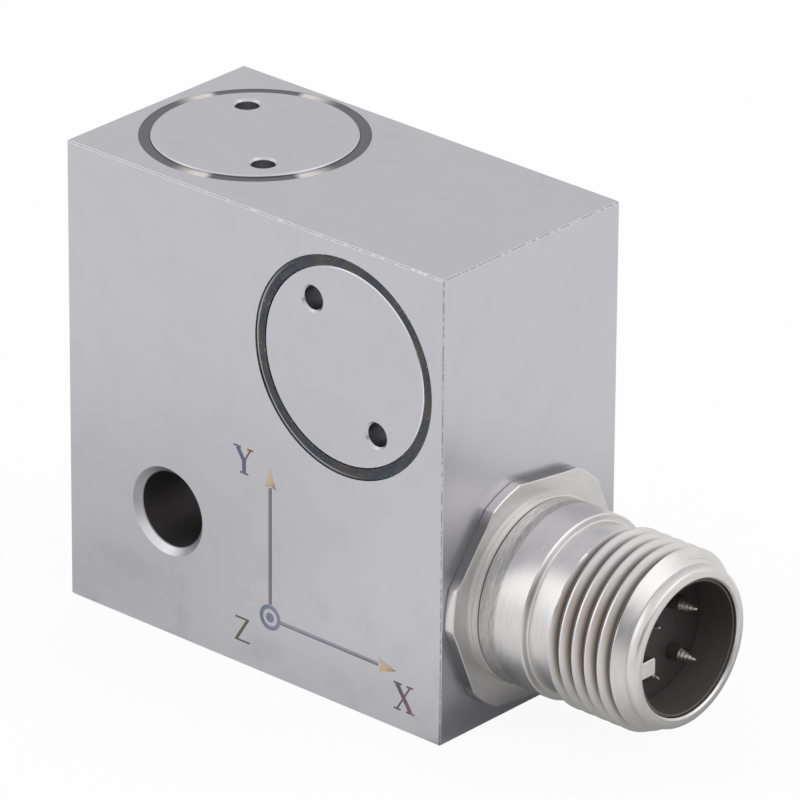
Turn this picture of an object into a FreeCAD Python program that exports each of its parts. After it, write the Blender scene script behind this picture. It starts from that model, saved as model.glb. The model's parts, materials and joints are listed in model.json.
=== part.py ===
import FreeCAD, Part
import math
import os

# Triaxial vibration sensor: a stainless block with two screwed covers and a
# round M12 connector. All sizes are in millimetres. The origin is the middle of
# the block's bottom face, +X points out of the connector, -Y out of the front
# cover and +Z out of the top cover.

# Block
block_width = 31.0
block_depth = 16.0
block_height = 31.0
block_edge_break = 0.12

# Mounting hole through the block, from front to back
mounting_hole_from_left = 8.4
mounting_hole_from_bottom = 8.45
mounting_hole_radius = 2.5
mounting_hole_chamfer = 0.44

# Covers, screwed in with a two-pin spanner
cover_radius = 6.45
cover_fit = 0.02
cover_thickness = 2.4
cover_skirt_depth = 0.8
cover_skirt_wall = 1.2
cover_edge_break = 0.08
cover_ring_width = 0.73
cover_ring_depth = 0.2
spanner_hole_radius = 0.76
spanner_hole_chamfer = 0.14
spanner_hole_depth = 1.3
spanner_hole_circle_radius = 4.55
gasket_thickness = 0.4
gasket_width = 0.55
top_cover_from_left = 8.0
top_cover_behind_middle = 0.4
top_cover_sunk = -0.1
top_cover_turn = 139.0
front_cover_from_right = 8.05
front_cover_from_top = 8.2
front_cover_sunk = 0.12
front_cover_turn = 125.0

# Element bores behind the covers and behind the connector
cavity_radius = 5.8
side_cavity_radius = 5.0
top_cavity_depth = 13.5
front_cavity_depth = 12.6
side_cavity_depth = 16.5
preload_thread_depth = 2.2

# Sensing element, a preloaded stack on the floor of its bore
insulator_radius = 4.2
insulator_thickness = 0.8
ring_radius = 3.8
ring_thickness = 1.0
ring_hole_radius = 1.5
electrode_thickness = 0.2
electrode_tab_width = 1.0
electrode_tab_radius = 4.65
top_tab_angle = 0.0
front_tab_angle = 225.0
side_tab_angle = 270.0
mass_radius = 4.2
mass_height = 3.6
mass_edge_break = 0.25
spring_washer_radius = 2.0
spring_washer_thickness = 0.3
screw_shank_radius = 1.1
screw_end_gap = 0.2
screw_head_radius = 2.1
screw_head_height = 1.6
screw_socket_radius = 0.9
screw_socket_depth = 0.9
stack_hole_clearance = 0.15

# Connector shell, measured outwards from the block's right face
connector_from_bottom = 8.1
flange_thickness = 0.72
flange_across_flats = 14.45
flange_corner_inside_block = 0.3
flange_turn = 7.7
collar_root_radius = 6.03
collar_root_end = 1.15
collar_radius = 5.95
collar_end = 4.65
collar_edge_break = 0.1
neck_radius = 5.45
neck_end = 6.5
thread_radius = 5.9
thread_lead_in = 0.2
thread_pitch = 1.0
thread_depth = 0.56
thread_crest_width = 0.12
thread_root_width = 0.2
thread_first_groove = 7.14
thread_groove_count = 5
thread_end = 11.35
nose_end = 12.15
nose_radius = 5.02
lip_radius = 5.18
lip_rise = 0.1
lip_round = 0.45
mouth = 12.95
socket_radius = 4.4
socket_edge_break = 0.11
key_recess = 0.12
key_width = 1.1
key_height = 1.25
key_length = 1.9

# Connector shell inside the block
spigot_radius = 5.5
spigot_length = 4.7
spigot_fit = 0.02
insert_shoulder = 0.5
insert_bay_radius = 4.75
seal_section_radius = 0.38
seal_recess_radius = 6.3
seal_recess_depth = 0.9

# Contact insert and contacts
insert_fit = 0.05
insert_floor = 10.0
insert_lining_wall = 0.15
insert_lining_recess = 0.25
insert_flange_thickness = 1.0
contact_spacing = 3.4
contact_radius = 0.5
contact_tip = 11.9
contact_cone = 1.0
contact_tip_radius = 0.07
contact_tail_radius = 0.35
contact_tail_past_board = 0.4
contact_fit = 0.02
retaining_ring_thickness = 1.2
retaining_ring_inner_radius = 3.6
retaining_ring_slot_width = 0.9
retaining_ring_slot_depth = 0.5
retaining_ring_fit = 0.03

# Amplifier board across the side bore
board_thickness = 0.8
board_fit = 0.1
chip_length = 2.4
chip_width = 1.7
chip_height = 0.9
chip_offset = 2.9

# Leads from each element to the board
lead_radius = 0.25
lead_wall_gap = 0.1
lead_bend_radius = 1.2
passage_radius = 0.8
passage_before_board = 0.9
front_passage_below_face = 6.2

# How far a cutting shape reaches past the face that it opens
cutter_overlap = 1.0

# Places closer than this count as one
same_place_length = 1e-6

V = FreeCAD.Vector
X = V(1, 0, 0)
Y = V(0, 1, 0)
Z = V(0, 0, 1)

# Places worked out from the sizes above
left_face = -block_width / 2
right_face = block_width / 2
front_face = -block_depth / 2
mounting_hole_centre = V(left_face + mounting_hole_from_left, 0, mounting_hole_from_bottom)
top_mouth = V(left_face + top_cover_from_left, top_cover_behind_middle, block_height)
front_mouth = V(right_face - front_cover_from_right, front_face, block_height - front_cover_from_top)
side_mouth = V(right_face, 0, connector_from_bottom)
flange_corner_radius = block_depth / 2 - flange_corner_inside_block
board_seat_depth = spigot_length + board_thickness


class Station:
    """A mouth in one face of the block: its centre, the way out of it and a sideways direction."""

    def __init__(self, mouth_centre, out, side):
        self.mouth = mouth_centre
        self.out = out
        self.side = side

    def place(self, shape, depth=0.0):
        """Moves a shape built on the origin along +Z to this depth below the mouth."""
        moved = shape.copy()
        turn = FreeCAD.Rotation(self.side, self.out.cross(self.side), self.out, "ZXY")
        moved.Placement = FreeCAD.Placement(self.mouth - self.out * depth, turn).multiply(shape.Placement)
        return moved


top_station = Station(top_mouth, Z, X)
front_station = Station(front_mouth, -Y, X)
side_station = Station(side_mouth, X, Y)


def turned(profile):
    """A solid of revolution about +Z from (radius, height) points."""
    points = [V(radius, 0, height) for radius, height in profile]
    outline = Part.makePolygon(points + [points[0]])
    return Part.Face(outline).revolve(V(0, 0, 0), Z, 360)


def disc(radius, low, high):
    return Part.makeCylinder(radius, high - low, V(0, 0, low), Z)


def washer(outer, inner, low, high):
    return disc(outer, low, high).cut(disc(inner, low, high))


def polar(radius, angle):
    """A point at an angle in degrees from the sideways direction."""
    turn = math.radians(angle)
    return V(radius * math.cos(turn), radius * math.sin(turn), 0)


# Block

def broken_block():
    """The bare block with every outer edge broken."""
    corner = V(left_face, front_face, 0)
    block = Part.makeBox(block_width, block_depth, block_height, corner)
    return block.makeChamfer(block_edge_break, block.Edges)


def gasket_seat(sunk):
    """Depth of the ledge that a cover is screwed down on, with its gasket between."""
    return sunk + cover_thickness + gasket_thickness


def cover_bore(sunk, cavity_depth):
    """The cutter behind a cover: ring groove, cover seat, gasket seat, cavity and preload thread."""
    seat = cover_radius + cover_fit
    ring = cover_radius + cover_ring_width
    return turned([
        (0, cutter_overlap),
        (ring, cutter_overlap),
        (ring, -cover_ring_depth),
        (seat, -cover_ring_depth),
        (seat, -gasket_seat(sunk)),
        (cavity_radius, -gasket_seat(sunk)),
        (cavity_radius, -cavity_depth),
        (screw_shank_radius, -cavity_depth),
        (screw_shank_radius, -cavity_depth - preload_thread_depth),
        (0, -cavity_depth - preload_thread_depth),
    ])


def connector_bore():
    """The cutter behind the connector: seal recess, spigot bore, board ledge and cavity."""
    spigot_bore = spigot_radius + spigot_fit
    return turned([
        (0, cutter_overlap),
        (seal_recess_radius, cutter_overlap),
        (seal_recess_radius, -seal_recess_depth),
        (spigot_bore, -seal_recess_depth),
        (spigot_bore, -board_seat_depth),
        (side_cavity_radius, -board_seat_depth),
        (side_cavity_radius, -side_cavity_depth),
        (screw_shank_radius, -side_cavity_depth),
        (screw_shank_radius, -side_cavity_depth - preload_thread_depth),
        (0, -side_cavity_depth - preload_thread_depth),
    ])


def mounting_hole():
    half = block_depth / 2
    wide = mounting_hole_radius + mounting_hole_chamfer
    cutter = turned([
        (0, -half - cutter_overlap),
        (wide + cutter_overlap, -half - cutter_overlap),
        (wide, -half),
        (mounting_hole_radius, -half + mounting_hole_chamfer),
        (mounting_hole_radius, half - mounting_hole_chamfer),
        (wide, half),
        (wide + cutter_overlap, half + cutter_overlap),
        (0, half + cutter_overlap),
    ])
    cutter.Placement = FreeCAD.Placement(mounting_hole_centre, FreeCAD.Rotation(X, 90))
    return cutter


def housing():
    block = broken_block()
    block = block.cut(top_station.place(cover_bore(top_cover_sunk, top_cavity_depth)))
    block = block.cut(front_station.place(cover_bore(front_cover_sunk, front_cavity_depth)))
    block = block.cut(side_station.place(connector_bore()))
    block = block.cut(mounting_hole())
    for start, end in (top_passage(), front_passage()):
        run = end - start
        block = block.cut(Part.makeCylinder(passage_radius, run.Length, start, run))
    return block


# Passages drilled for the leads, on the slant through the connector bore

def element_floor(station, cavity_depth):
    return station.mouth - station.out * cavity_depth


def side_gap_radius():
    """Distance of a lead from the side bore's axis, just inside the bore's wall."""
    return side_cavity_radius - lead_wall_gap - lead_radius


def side_gap_height(y):
    """Height of a lead in the side bore, at this distance in front of or behind the bore's axis."""
    return side_mouth.z + math.sqrt(side_gap_radius() ** 2 - y**2)


def tab_point(station, cavity_depth, tab_angle, height):
    """Where a lead meets its electrode's tab."""
    tip = polar(electrode_tab_radius, tab_angle)
    along = station.side * tip.x + station.out.cross(station.side) * tip.y
    return element_floor(station, cavity_depth) + along + station.out * height


def electrode_face():
    """Height of the electrode's outer face above the floor of its bore."""
    return insulator_thickness + ring_thickness + electrode_thickness


def top_passage():
    """From beside the side element's mass up into the foot of the top bore."""
    top_floor = element_floor(top_station, top_cavity_depth)
    side_floor = element_floor(side_station, side_cavity_depth)
    low = V(side_floor.x + mass_low() + mass_height, 0, side_gap_height(0))
    high = V(top_floor.x + cavity_radius - passage_radius, top_floor.y, top_floor.z + passage_radius / 2)
    return low, high


def front_passage():
    """From just before the board up to the front electrode's tab."""
    y = front_face + front_passage_below_face
    tab = tab_point(front_station, front_cavity_depth, front_tab_angle, electrode_face())
    low = V(board_face() - passage_before_board, y, side_gap_height(y))
    high = V(tab.x, y, tab.z)
    return low, high


# Covers and gaskets

def cover(turn):
    """A disc with a shallow skirt, broken edge and two blind spanner holes."""
    inner = cover_radius - cover_skirt_wall
    body = turned([
        (0, 0),
        (cover_radius - cover_edge_break, 0),
        (cover_radius, -cover_edge_break),
        (cover_radius, -cover_thickness),
        (inner, -cover_thickness),
        (inner, cover_skirt_depth - cover_thickness),
        (0, cover_skirt_depth - cover_thickness),
    ])
    for side in (0, 180):
        hole = spanner_hole()
        hole.translate(polar(spanner_hole_circle_radius, turn + side))
        body = body.cut(hole)
    return body


def spanner_hole():
    """The cutter for one blind hole with a chamfered mouth."""
    wide = spanner_hole_radius + spanner_hole_chamfer
    return turned([
        (0, cutter_overlap),
        (wide + cutter_overlap, cutter_overlap),
        (wide, 0),
        (spanner_hole_radius, -spanner_hole_chamfer),
        (spanner_hole_radius, -spanner_hole_depth),
        (0, -spanner_hole_depth),
    ])


def gasket():
    outer = cover_radius
    return washer(outer, outer - gasket_width, -cover_thickness - gasket_thickness, -cover_thickness)


# Sensing elements

def stack_bore():
    return screw_shank_radius + stack_hole_clearance


def base_insulator():
    return washer(insulator_radius, stack_bore(), 0, insulator_thickness)


def piezo_ring(low):
    return washer(ring_radius, ring_hole_radius, low, low + ring_thickness)


def electrode(tab_angle):
    """A foil ring with a tab that the lead is soldered to."""
    low = insulator_thickness + ring_thickness
    foil = disc(ring_radius, low, low + electrode_thickness)
    reach = electrode_tab_radius + lead_radius
    tab = Part.makeBox(reach, electrode_tab_width, electrode_thickness, V(0, -electrode_tab_width / 2, low))
    tab.rotate(V(0, 0, 0), Z, tab_angle)
    hole = disc(ring_hole_radius, low, low + electrode_thickness)
    return foil.fuse(tab).removeSplitter().cut(hole)


def mass_low():
    return insulator_thickness + 2 * ring_thickness + electrode_thickness


def seismic_mass():
    low = mass_low()
    high = low + mass_height
    return turned([
        (stack_bore(), low),
        (mass_radius - mass_edge_break, low),
        (mass_radius, low + mass_edge_break),
        (mass_radius, high - mass_edge_break),
        (mass_radius - mass_edge_break, high),
        (stack_bore(), high),
    ])


def spring_washer():
    low = mass_low() + mass_height
    return washer(spring_washer_radius, stack_bore(), low, low + spring_washer_thickness)


def preload_screw():
    """A socket head screw from the spring washer down into the block."""
    head_low = mass_low() + mass_height + spring_washer_thickness
    head_high = head_low + screw_head_height
    shank = disc(screw_shank_radius, screw_end_gap - preload_thread_depth, head_low)
    head = disc(screw_head_radius, head_low, head_high)
    socket = hexagon_prism(screw_socket_radius, head_high - screw_socket_depth, head_high)
    return shank.fuse(head).removeSplitter().cut(socket)


def hexagon_prism(inner_radius, low, high):
    corner = inner_radius / math.cos(math.radians(30))
    points = [polar(corner, 60 * k) + V(0, 0, low) for k in range(6)]
    outline = Part.makePolygon(points + [points[0]])
    return Part.Face(outline).extrude(V(0, 0, high - low))


def element_parts(tab_angle):
    """Every piece of one element, from the floor of its bore outwards."""
    lower = insulator_thickness
    upper = lower + ring_thickness + electrode_thickness
    return {
        "insulator": base_insulator(),
        "lower_piezo_ring": piezo_ring(lower),
        "electrode": electrode(tab_angle),
        "upper_piezo_ring": piezo_ring(upper),
        "seismic_mass": seismic_mass(),
        "spring_washer": spring_washer(),
        "preload_screw": preload_screw(),
    }


# Connector

def flange():
    """A thin hexagon with turned corners."""
    apothem = flange_across_flats / 2
    prism = hexagon_prism(apothem, 0, flange_thickness)
    prism.rotate(V(0, 0, 0), Z, -flange_turn)
    return prism.common(disc(flange_corner_radius, 0, flange_thickness))


def shell_outside():
    """Everything that was turned, from the spigot's end to the mouth."""
    outside = turned([
        (0, -spigot_length),
        (spigot_radius, -spigot_length),
        (spigot_radius, 0),
        (collar_root_radius, 0),
        (collar_root_radius, collar_root_end),
        (collar_radius, collar_root_end),
        (collar_radius, collar_end - collar_edge_break),
        (collar_radius - collar_edge_break, collar_end),
        (neck_radius, collar_end),
        (neck_radius, neck_end),
        (thread_radius, neck_end + thread_lead_in),
        (thread_radius, thread_end),
        (nose_radius, nose_end),
        (lip_radius, nose_end + lip_rise),
        (lip_radius, mouth),
        (0, mouth),
    ])
    return outside.makeFillet(lip_round, [edge for edge in outside.Edges if edge_lies_at(edge, mouth)])


def edge_lies_at(edge, height):
    """Whether an edge is flat and lies at this height."""
    box = edge.BoundBox
    return box.ZLength < same_place_length and abs(box.ZMin - height) < same_place_length


def thread_groove(middle):
    """The cutter for one turn of the thread, as a plain ring groove that widens outwards."""
    root = thread_radius - thread_depth
    outside = thread_radius + cutter_overlap
    half_root = thread_root_width / 2
    half_mouth = (thread_pitch - thread_crest_width) / 2
    flare = (half_mouth - half_root) / thread_depth
    half_outside = half_mouth + flare * cutter_overlap
    return turned([
        (root, middle - half_root),
        (outside, middle - half_outside),
        (outside, middle + half_outside),
        (root, middle + half_root),
    ])


def shell_inside():
    """The stepped bore: socket, insert shoulder and the bay for the insert's flange."""
    return turned([
        (0, mouth + cutter_overlap),
        (socket_radius + socket_edge_break + cutter_overlap, mouth + cutter_overlap),
        (socket_radius + socket_edge_break, mouth),
        (socket_radius, mouth - socket_edge_break),
        (socket_radius, -insert_shoulder),
        (insert_bay_radius, -insert_shoulder),
        (insert_bay_radius, -spigot_length - cutter_overlap),
        (0, -spigot_length - cutter_overlap),
    ])


def key_rib(clearance=0.0):
    """The rib inside the socket that sets which way round a plug goes in, rooted in the shell's wall."""
    root = (socket_radius + lip_radius) / 2
    reach = root - socket_radius + key_height + clearance
    width = key_width + 2 * clearance
    low = mouth - key_length - clearance
    high = mouth - key_recess
    rib = Part.makeBox(reach, width, high - low, V(-root, -width / 2, low))
    return rib.common(disc(root, low, high))


def connector_shell():
    shell = shell_outside().fuse(flange()).removeSplitter()
    for turn in range(thread_groove_count):
        shell = shell.cut(thread_groove(thread_first_groove + turn * thread_pitch))
    return shell.cut(shell_inside()).fuse(key_rib()).removeSplitter()


def connector_seal():
    middle = spigot_radius + (seal_recess_radius - spigot_radius) / 2
    return Part.makeTorus(middle, seal_section_radius, V(0, 0, -seal_recess_depth / 2), Z)


def insert_back():
    return -insert_shoulder - insert_flange_thickness


def contact_places():
    half = contact_spacing / 2
    return [V(-half, half, 0), V(half, half, 0), V(half, -half, 0), V(-half, -half, 0)]


def contact_insert():
    """A moulded cup: flange at the back, floor round the contacts, thin lining to the mouth."""
    outer = socket_radius - insert_fit
    lining_inner = outer - insert_lining_wall
    body = turned([
        (0, insert_back()),
        (insert_bay_radius - insert_fit, insert_back()),
        (insert_bay_radius - insert_fit, -insert_shoulder),
        (outer, -insert_shoulder),
        (outer, mouth - insert_lining_recess),
        (lining_inner, mouth - insert_lining_recess),
        (lining_inner, insert_floor),
        (0, insert_floor),
    ])
    body = body.cut(key_rib(insert_fit))
    for place in contact_places():
        hole = disc(contact_radius + contact_fit, insert_back(), insert_floor)
        hole.translate(place)
        body = body.cut(hole)
    return body


def contact_pin(place):
    """A pointed contact with a thinner tail that ends past the board."""
    tail_end = -board_seat_depth - contact_tail_past_board
    pin = turned([
        (0, tail_end),
        (contact_tail_radius, tail_end),
        (contact_tail_radius, insert_back()),
        (contact_radius, insert_back()),
        (contact_radius, contact_tip - contact_cone),
        (contact_tip_radius, contact_tip),
        (0, contact_tip),
    ])
    pin.translate(place)
    return pin


def retaining_ring():
    """A slotted ring that holds the insert's flange against the shoulder."""
    high = insert_back()
    low = high - retaining_ring_thickness
    outer = insert_bay_radius - retaining_ring_fit
    ring = washer(outer, retaining_ring_inner_radius, low, high)
    slot = Part.makeBox(
        2 * insert_bay_radius,
        retaining_ring_slot_width,
        retaining_ring_slot_depth,
        V(-insert_bay_radius, -retaining_ring_slot_width / 2, low),
    )
    return ring.cut(slot)


def pin_potting():
    """Resin behind the insert, round the contacts' tails."""
    high = insert_back()
    low = high - retaining_ring_thickness
    fill = disc(retaining_ring_inner_radius, low, high)
    for place in contact_places():
        hole = disc(contact_tail_radius, low, high)
        hole.translate(place)
        fill = fill.cut(hole)
    return fill


# Amplifier board

def amplifier_board():
    board = disc(spigot_radius - board_fit, -board_seat_depth, -spigot_length)
    for place in contact_places():
        hole = disc(contact_tail_radius + contact_fit, -board_seat_depth, -spigot_length)
        hole.translate(place)
        board = board.cut(hole)
    return board


def amplifier_chips():
    """One amplifier for each axis, on the side of the board that faces the element."""
    chips = []
    for k in range(3):
        corner = V(-chip_length / 2, -chip_width / 2, -board_seat_depth - chip_height)
        chip = Part.makeBox(chip_length, chip_width, chip_height, corner)
        chip.translate(V(0, (k - 1) * chip_offset, 0))
        chips.append(chip)
    return Part.makeCompound(chips)


# Leads

def lead(points):
    """A round lead along straight runs joined by tangent arcs."""
    edges = []
    start = points[0]
    for before, corner, after in zip(points, points[1:], points[2:]):
        arrive = (corner - before).normalize()
        leave = (after - corner).normalize()
        half_turn = arrive.getAngle(leave) / 2
        setback = lead_bend_radius * math.tan(half_turn)
        arc_start = corner - arrive * setback
        arc_end = corner + leave * setback
        inward = (leave - arrive).normalize()
        centre = corner + inward * (lead_bend_radius / math.cos(half_turn))
        middle = centre - inward * lead_bend_radius
        edges.append(Part.LineSegment(start, arc_start).toShape())
        edges.append(Part.Arc(arc_start, middle, arc_end).toShape())
        start = arc_end
    edges.append(Part.LineSegment(start, points[-1]).toShape())
    path = Part.Wire(edges)
    first_run = (points[1] - points[0]).normalize()
    section = Part.Wire(Part.makeCircle(lead_radius, points[0], first_run))
    tube = path.makePipeShell([section], True, True)
    length = path.Length
    print("lead length", round(length, 2), "volume ratio", round(tube.Volume / (math.pi * lead_radius**2 * length), 4))
    return tube


def board_face():
    return side_mouth.x - board_seat_depth


def side_lead():
    """From the side electrode's tab straight to the board, under the mass."""
    start = tab_point(side_station, side_cavity_depth, side_tab_angle, electrode_face())
    end = V(board_face(), start.y, start.z)
    return Part.makeCylinder(lead_radius, (end - start).Length, start, end - start)


def top_lead():
    """Down from the top electrode's tab, through its passage and along the side bore."""
    under_tab = electrode_face() - electrode_thickness
    start = tab_point(top_station, top_cavity_depth, top_tab_angle, under_tab)
    low, high = top_passage()
    slope = (high.z - low.z) / (high.x - low.x)
    entry = V(start.x, start.y, low.z + slope * (start.x - low.x))
    return lead([start, entry, low, V(board_face(), low.y, low.z)])


def front_lead():
    """Forward beside the front mass, down through its passage and to the board."""
    start = tab_point(front_station, front_cavity_depth, front_tab_angle, electrode_face())
    low, high = front_passage()
    return lead([start, high, low, V(board_face(), low.y, low.z)])


def save(name, shape):
    print(name, "solids", len(shape.Solids), "valid", shape.isValid(), "volume", round(shape.Volume, 3))
    shape.exportStep("parts/" + name + ".step")


def build():
    os.makedirs("parts", exist_ok=True)
    save("housing", housing())
    save("top_cover", top_station.place(cover(top_cover_turn), top_cover_sunk))
    save("front_cover", front_station.place(cover(front_cover_turn), front_cover_sunk))
    save("top_cover_gasket", top_station.place(gasket(), top_cover_sunk))
    save("front_cover_gasket", front_station.place(gasket(), front_cover_sunk))
    save("connector_shell", side_station.place(connector_shell()))
    save("connector_seal", side_station.place(connector_seal()))
    save("contact_insert", side_station.place(contact_insert()))
    save("insert_retaining_ring", side_station.place(retaining_ring()))
    save("pin_potting", side_station.place(pin_potting()))
    save("amplifier_board", side_station.place(amplifier_board()))
    save("amplifier_chips", side_station.place(amplifier_chips()))
    for number, place in enumerate(contact_places(), 1):
        save("contact_pin_" + str(number), side_station.place(contact_pin(place)))
    elements = (
        ("top", top_station, top_cavity_depth, top_tab_angle),
        ("front", front_station, front_cavity_depth, front_tab_angle),
        ("side", side_station, side_cavity_depth, side_tab_angle),
    )
    for label, station, depth, tab_angle in elements:
        for piece, shape in element_parts(tab_angle).items():
            save(label + "_" + piece, station.place(shape, depth))
    save("top_lead", top_lead())
    save("front_lead", front_lead())
    save("side_lead", side_lead())


build()
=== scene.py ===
"""Looks of a triaxial vibration sensor.

A ground stainless block stands on a pale floor. Two round covers are screwed into it,
a bolt hole runs through it and a turned M12 connector leaves its right face. Sizes are
millimetres in this file and become metres in the meshes.
"""

import json
import logging
import math
from dataclasses import dataclass
from enum import Enum
from typing import NamedTuple

import bpy
import numpy as np
from mathutils import Matrix, Vector


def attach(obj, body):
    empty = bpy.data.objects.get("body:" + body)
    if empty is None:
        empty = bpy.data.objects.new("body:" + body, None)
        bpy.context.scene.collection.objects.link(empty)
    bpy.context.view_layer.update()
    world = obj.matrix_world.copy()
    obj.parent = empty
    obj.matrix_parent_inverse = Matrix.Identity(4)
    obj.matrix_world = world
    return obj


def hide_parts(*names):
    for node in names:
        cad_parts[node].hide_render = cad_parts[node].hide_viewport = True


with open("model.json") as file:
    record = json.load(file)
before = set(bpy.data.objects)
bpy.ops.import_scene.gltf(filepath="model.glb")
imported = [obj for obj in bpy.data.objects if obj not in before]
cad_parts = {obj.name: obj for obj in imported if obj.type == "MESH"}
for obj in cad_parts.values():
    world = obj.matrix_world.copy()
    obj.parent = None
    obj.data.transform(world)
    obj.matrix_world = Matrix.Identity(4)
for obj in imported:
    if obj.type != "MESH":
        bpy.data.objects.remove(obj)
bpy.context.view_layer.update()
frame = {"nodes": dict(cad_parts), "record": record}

LOG = logging.getLogger("vibration_sensor")
MM = 0.001
WELD_MM = 1e-5
BODY = "root"
Span = tuple[float, float]
Point = tuple[float, float, float]
Colour = tuple[float, float, float]
Socket = bpy.types.NodeSocket


# Meshes


class Skin:
    """Patches of one piece's surface, welded into one closed mesh."""

    def __init__(self) -> None:
        """Starts with no patches."""
        self.points: list[np.ndarray] = []
        self.quads: list[np.ndarray] = []
        self.uvs: list[np.ndarray] = []
        self.count = 0

    def add(self, grid: np.ndarray, shift: int = 0) -> None:
        """Adds a patch, given as a grid of points, with faces between its rows and columns.

        The last column joins the first, where a row meets the row that lies the shift
        further on.

        Args:
            grid: Points in millimetres, shaped (rows, columns, 3).
            shift: How many rows a helix climbs in one turn.
        """
        rows, columns = grid.shape[:2]
        index = np.arange(rows * columns).reshape(rows, columns) + self.count
        partner = np.minimum(np.arange(rows) + shift, rows - 1)
        index = np.hstack([index, index[partner, :1]])
        across, along = np.linspace(0.0, 1.0, columns + 1), np.linspace(0.0, 1.0, rows)
        uv = np.stack(np.meshgrid(across, along), axis=-1)
        order = ((0, 0), (0, 1), (1, 1), (1, 0))
        corners = [index[i:rows - 1 + i, j:columns + j].ravel() for i, j in order]
        spots = [uv[i:rows - 1 + i, j:columns + j].reshape(-1, 2) for i, j in order]
        self.points.append(grid.reshape(-1, 3))
        self.quads.append(np.stack(corners, axis=1))
        self.uvs.append(np.stack(spots, axis=1))
        self.count += rows * columns

    def build(self, name: str, finish: bpy.types.Material, sharp_angle: float = 28.0) -> bpy.types.Object:
        """Welds the patches and returns the piece.

        Points closer than the weld distance become one, corners that fall together are
        dropped, and faces with fewer than three corners are left out.

        Args:
            name: The piece's name.
            finish: The piece's material.
            sharp_angle: Edges that turn by more degrees than this are sharp.

        Returns:
            The new object, with its place in its mesh.
        """
        points = np.concatenate(self.points)
        quads = np.concatenate(self.quads)
        uvs = np.concatenate(self.uvs)
        keys = np.round(points / WELD_MM).astype(np.int64)
        _, first, inverse = np.unique(keys, axis=0, return_index=True, return_inverse=True)
        corners = inverse.reshape(-1)[quads]
        kept = corners != np.roll(corners, 1, axis=1)
        crossed = (corners[:, 0] == corners[:, 2]) | (corners[:, 1] == corners[:, 3])
        good = (kept.sum(axis=1) >= 3) & ~(crossed & (kept.sum(axis=1) == 4))
        corners, kept, uvs = corners[good], kept[good], uvs[good]
        totals = kept.sum(axis=1)
        mesh = bpy.data.meshes.new(name)
        mesh.vertices.add(len(first))
        mesh.vertices.foreach_set("co", (points[first] * MM).astype(np.float32).ravel())
        mesh.loops.add(int(totals.sum()))
        mesh.loops.foreach_set("vertex_index", corners[kept].astype(np.int32))
        mesh.polygons.add(len(totals))
        starts = np.concatenate([[0], np.cumsum(totals)[:-1]])
        mesh.polygons.foreach_set("loop_start", starts.astype(np.int32))
        mesh.polygons.foreach_set("loop_total", totals.astype(np.int32))
        layer = mesh.uv_layers.new(name="surface")
        layer.data.foreach_set("uv", uvs[kept].astype(np.float32).ravel())
        mesh.update(calc_edges=True)
        mesh.shade_smooth()
        mesh.set_sharp_from_angle(angle=math.radians(sharp_angle))
        mesh.materials.append(finish)
        piece = bpy.data.objects.new(name, mesh)
        bpy.context.scene.collection.objects.link(piece)
        return piece


def rounded(profile: list[Span], radii: dict[int, float], steps: int = 6) -> np.ndarray:
    """A profile whose named corners are rounded by arcs.

    At a corner where the line turns by an angle, an arc of radius r starts and ends
    r times the tangent of half that angle away from the corner.

    Args:
        profile: The corners, as (radius, height).
        radii: The arc's radius at each rounded corner's index.
        steps: How many spans an arc has.

    Returns:
        The points of the rounded profile, shaped (n, 2).
    """
    corners = np.array(profile, dtype=float)
    pieces = []
    for k, corner in enumerate(corners):
        if k not in radii:
            pieces.append(corner[None])
            continue
        following = corners[(k + 1) % len(corners)]
        arrive = (corner - corners[k - 1]) / np.linalg.norm(corner - corners[k - 1])
        leave = (following - corner) / np.linalg.norm(following - corner)
        turn = math.acos(float(np.clip(arrive @ leave, -1.0, 1.0)))
        setback = radii[k] * math.tan(turn / 2)
        share = np.linspace(0.0, 1.0, steps + 1)[:, None]
        start = corner - arrive * setback
        inward = (leave - arrive) / np.linalg.norm(leave - arrive)
        centre = corner + inward * radii[k] / math.cos(turn / 2)
        spoke = start - centre
        across = arrive * radii[k]
        pieces.append(centre + np.cos(share * turn) * spoke + np.sin(share * turn) * across)
    return np.concatenate(pieces)


@dataclass(frozen=True)
class Station:
    """A mouth in one face of the block: its centre, the way out and a sideways direction."""

    mouth: Point
    out: Point
    side: Point

    def place(self, local: np.ndarray) -> np.ndarray:
        """Points built on the origin along +Z, moved to the mouth."""
        out, side = np.array(self.out), np.array(self.side)
        basis = np.stack([side, np.cross(out, side), out])
        return local @ basis + np.array(self.mouth)


TOP = Station((-7.5, 0.4, 31.0), (0.0, 0.0, 1.0), (1.0, 0.0, 0.0))
FRONT = Station((7.45, -8.0, 22.8), (0.0, -1.0, 0.0), (1.0, 0.0, 0.0))
SIDE = Station((15.5, 0.0, 8.1), (1.0, 0.0, 0.0), (0.0, 1.0, 0.0))


# Finishes


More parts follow.
